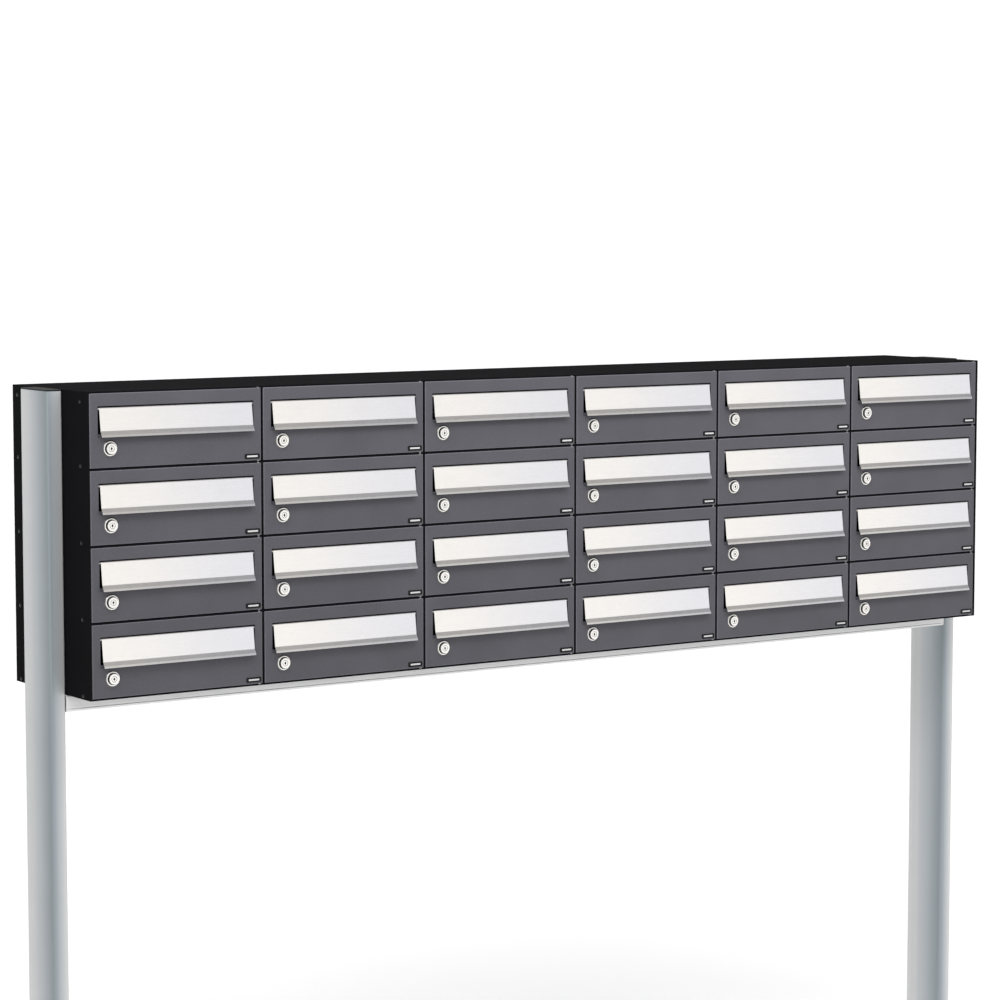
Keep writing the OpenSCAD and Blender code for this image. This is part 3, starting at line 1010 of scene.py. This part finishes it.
# The back panel takes the copy of the black coat that is painted lighter.
frame_piece("back_sheet", back_sheet(), "casing_black", back_black_painted_lighter, "back_panel")
frame_piece("rivets", rivets(), "rivet_dark", rivet_black, "side_rivets")
frame_piece("bolts", bolts(), "zinc_steel", zinc_steel, "bank_bolts")
frame_piece("hinge_pins", hinge_pins(), "zinc_steel", zinc_steel, "door_hinge_pins")
frame_piece("strikes", strikes(), "casing_black", casing_black, "door_strikes")


# ------------------------------------------------------------------ posts and beam
def post_section():
    """A post's outline from above."""
    return crowned_rect(POST_W, POST_D, POST_R, POST_CROWN)


def posts():
    """Tubes whose faces are slightly crowned."""
    inset = 2 * POST_WALL + 1
    inner = crowned_rect(POST_W - inset, POST_D - inset, POST_R - POST_WALL, 0.3)
    tube = prism(post_section(), posts_low.z, posts_high.z, hole=inner)
    return at_both_posts(softened(tube, 0.3, sharper_than=60))


def end_caps():
    """Caps with a rounded rim and the plug that holds them."""
    lid = softened(prism(post_section(), posts_high.z, caps_high.z), 0.9, 4, sharper_than=60)
    inset = 2 * POST_WALL + 2
    section = rounded_rect(POST_W - inset, POST_D - inset, 2)
    plug = softened(prism(section, caps_low.z, posts_high.z - 0.01), 0.5)
    return at_both_posts(joined(lid, plug))


def beam():
    """The beam, with a fine groove along the foot of its front and back."""
    half = POST_D / 2
    foot = beam_low.z
    height = beam_high.z - foot
    groove = foot + 5.2
    right = arc((half - POST_R, foot + POST_R), POST_R, 270, 360, 6)
    right += [Vector((half - 1.1, groove + 1.1)), Vector((half, groove + 3.6))]
    right += arc((half - POST_R, beam_high.z - POST_R), POST_R, 0, 90, 6)
    outline = right + [Vector((-p.x, p.y)) for p in reversed(right)]
    narrower = (half - POST_WALL - 1) / half
    lower = 1 - 2 * POST_WALL / height
    core = [Vector((p.x * narrower, foot + POST_WALL + (p.y - foot) * lower)) for p in outline]
    return softened(prism(outline, beam_low.x, beam_high.x, "x", hole=core), 0.3, sharper_than=60)


def base_plates():
    """Plates with eased edges and countersunk anchor holes."""
    width = 2 * (base_high.x - POST_X)
    depth = base_high.y - base_low.y
    top = base_high.z
    plate = prism(rounded_rect(width, depth, 10, 8), base_low.z, top)
    bore = [(0, -1), (ANCHOR_R, -1), (ANCHOR_R, top - 1.2)]
    countersink = [(ANCHOR_R + 1.5, top + 0.3), (ANCHOR_R + 1.5, top + 2), (0, top + 2)]
    holes = []
    for x in (-ANCHOR_X, ANCHOR_X):
        for y in (-ANCHOR_Y, ANCHOR_Y):
            holes.append(at(lathe(bore + countersink, segments=40), (x, y, 0)))
    return at_both_posts(softened(cut(plate, *holes), 0.8, 3))


def foot_welds():
    """A fillet of overlapping ripples round each post's foot."""
    reach = 5.0
    step = 1.2
    into_post = -0.6
    into_plate = -0.3
    section = [(into_post, 0.0), (reach, 0.0), (0.72 * reach, 0.3 * reach), (0.36 * reach, 0.5 * reach)]
    section += [(0.12 * reach, 0.82 * reach), (into_post, reach)]
    outline = post_section()
    path = []
    for here, after in zip(outline, outline[1:] + outline[:1]):
        steps = max(1, round((after - here).length / step))
        path += [here.lerp(after, i / steps) for i in range(steps)]
    bm = bmesh.new()
    rings = []
    length = 0.0
    for before, here, after in zip(path[-1:] + path, path, path[1:] + path[:1]):
        on = (after - before).normalized()
        outward = Vector((on.y, -on.x))
        swell = 1 + 0.045 * math.sin(1.9 * length) + 0.04 * math.sin(0.53 * length)
        ring = []
        for out, up in section:
            spot = here + outward * out * (swell if out > 0 else 1)
            ring.append(bm.verts.new((spot.x, spot.y, posts_low.z + into_plate + up * swell)))
        rings.append(ring)
        length += (after - here).length
    for ring, after in zip(rings, rings[1:] + rings[:1]):
        bridge(bm, ring, after)
    return at_both_posts(bm)


frame_piece("upright_posts", posts(), "anodised_aluminium", post_aluminium, "posts")
frame_piece("end_caps", end_caps(), "cap_plastic", cap_plastic, "post_end_caps")
frame_piece("cross_beam", beam(), "anodised_aluminium", beam_aluminium, "bottom_beam")
frame_piece("floor_plates", base_plates(), "base_steel", plate_aluminium, "base_plates")
frame_piece("foot_welds", foot_welds(), "base_steel", weld)


# ------------------------------------------------------------------ stage and light
def make_floor():
    """One large pale sheet, in metres, at the height of the object's feet."""
    bm = bmesh.new()
    bmesh.ops.create_grid(bm, x_segments=1, y_segments=1, size=500)
    mesh = bpy.data.meshes.new("studio_floor")
    bm.to_mesh(mesh)
    bm.free()
    mesh.materials.append(pale_floor())
    floor = bpy.data.objects.new("studio_floor", mesh)
    floor.location.z = cad_box[0].z
    bpy.context.scene.collection.objects.link(floor)


def make_world():
    """A studio that the camera sees as white. As light it is brightest in front, near the horizon."""
    world = bpy.data.worlds.new("studio")
    world.use_nodes = True
    bpy.context.scene.world = world
    tree = world.node_tree
    direction = tree.nodes.new("ShaderNodeTexCoord").outputs["Generated"]
    split = tree.nodes.new("ShaderNodeSeparateXYZ")
    tree.links.new(direction, split.inputs[0])

    def grey_by(part, *stops):
        """A grey that depends on one part of the direction, from stops of (part, grey)."""
        share = tree.nodes.new("ShaderNodeMapRange")
        share.inputs["From Min"].default_value = -1
        tree.links.new(split.outputs[part], share.inputs["Value"])
        ramp = tree.nodes.new("ShaderNodeValToRGB")
        ramp.color_ramp.interpolation = "EASE"
        while len(ramp.color_ramp.elements) < len(stops):
            ramp.color_ramp.elements.new(0.5)
        for element, (place, grey) in zip(ramp.color_ramp.elements, stops):
            element.position = (place + 1) / 2
            element.color = (grey, grey, grey, 1)
        tree.links.new(share.outputs["Result"], ramp.inputs["Fac"])
        return ramp.outputs["Color"]

    def mixed(kind, factor, a, b):
        """Two colours mixed by a blend. Each is a value or a node's output."""
        mix = tree.nodes.new("ShaderNodeMix")
        mix.data_type = "RGBA"
        mix.blend_type = kind
        for socket, value in ((mix.inputs["Factor"], factor), (mix.inputs[6], a), (mix.inputs[7], b)):
            if isinstance(value, bpy.types.NodeSocket):
                tree.links.new(value, socket)
            else:
                socket.default_value = value
        return mix.outputs[2]

    low_band = ((-1.0, 0.9), (0.03, 0.76), (0.14, 0.97), (0.21, 0.9))
    ceiling = ((0.42, 0.34), (1.0, 0.32))
    by_height = grey_by("Z", *low_band, *ceiling)
    by_side = grey_by("Y", (-1.0, 1.0), (-0.3, 1.0), (0.5, 0.3), (1.0, 0.7))
    light = mixed("MULTIPLY", 1.0, by_height, by_side)
    seen = tree.nodes.new("ShaderNodeLightPath").outputs["Is Camera Ray"]
    background = tree.nodes["Background"]
    tree.links.new(mixed("MIX", seen, light, (1, 1, 1, 1)), background.inputs["Color"])
    background.inputs["Strength"].default_value = 1.13


def lamp(name, kind, energy, place, towards, **settings):
    """A lamp at a place in metres that shines towards another and isn't seen itself."""
    data = bpy.data.lights.new(name, kind)
    data.energy = energy
    for key, value in settings.items():
        setattr(data, key, value)
    made = bpy.data.objects.new(name, data)
    made.location = place
    made.rotation_euler = (Vector(place) - Vector(towards)).to_track_quat("Z", "Y").to_euler()
    made.visible_camera = False
    bpy.context.scene.collection.objects.link(made)
    return made


make_floor()
make_world()
lamp("overhead_light", "SUN", 1.5, (-1.3, -1.7, 2.3), (0, 0, 0), angle=math.radians(50))
strip = lamp(
    "strip_light", "AREA", 42, (-0.2, -1.0, 2.6), (0, 0, 2.2),
    shape="RECTANGLE", size=4.2, size_y=0.5,
)
strip.visible_glossy = False
bpy.context.scene.view_settings.view_transform = "Standard"
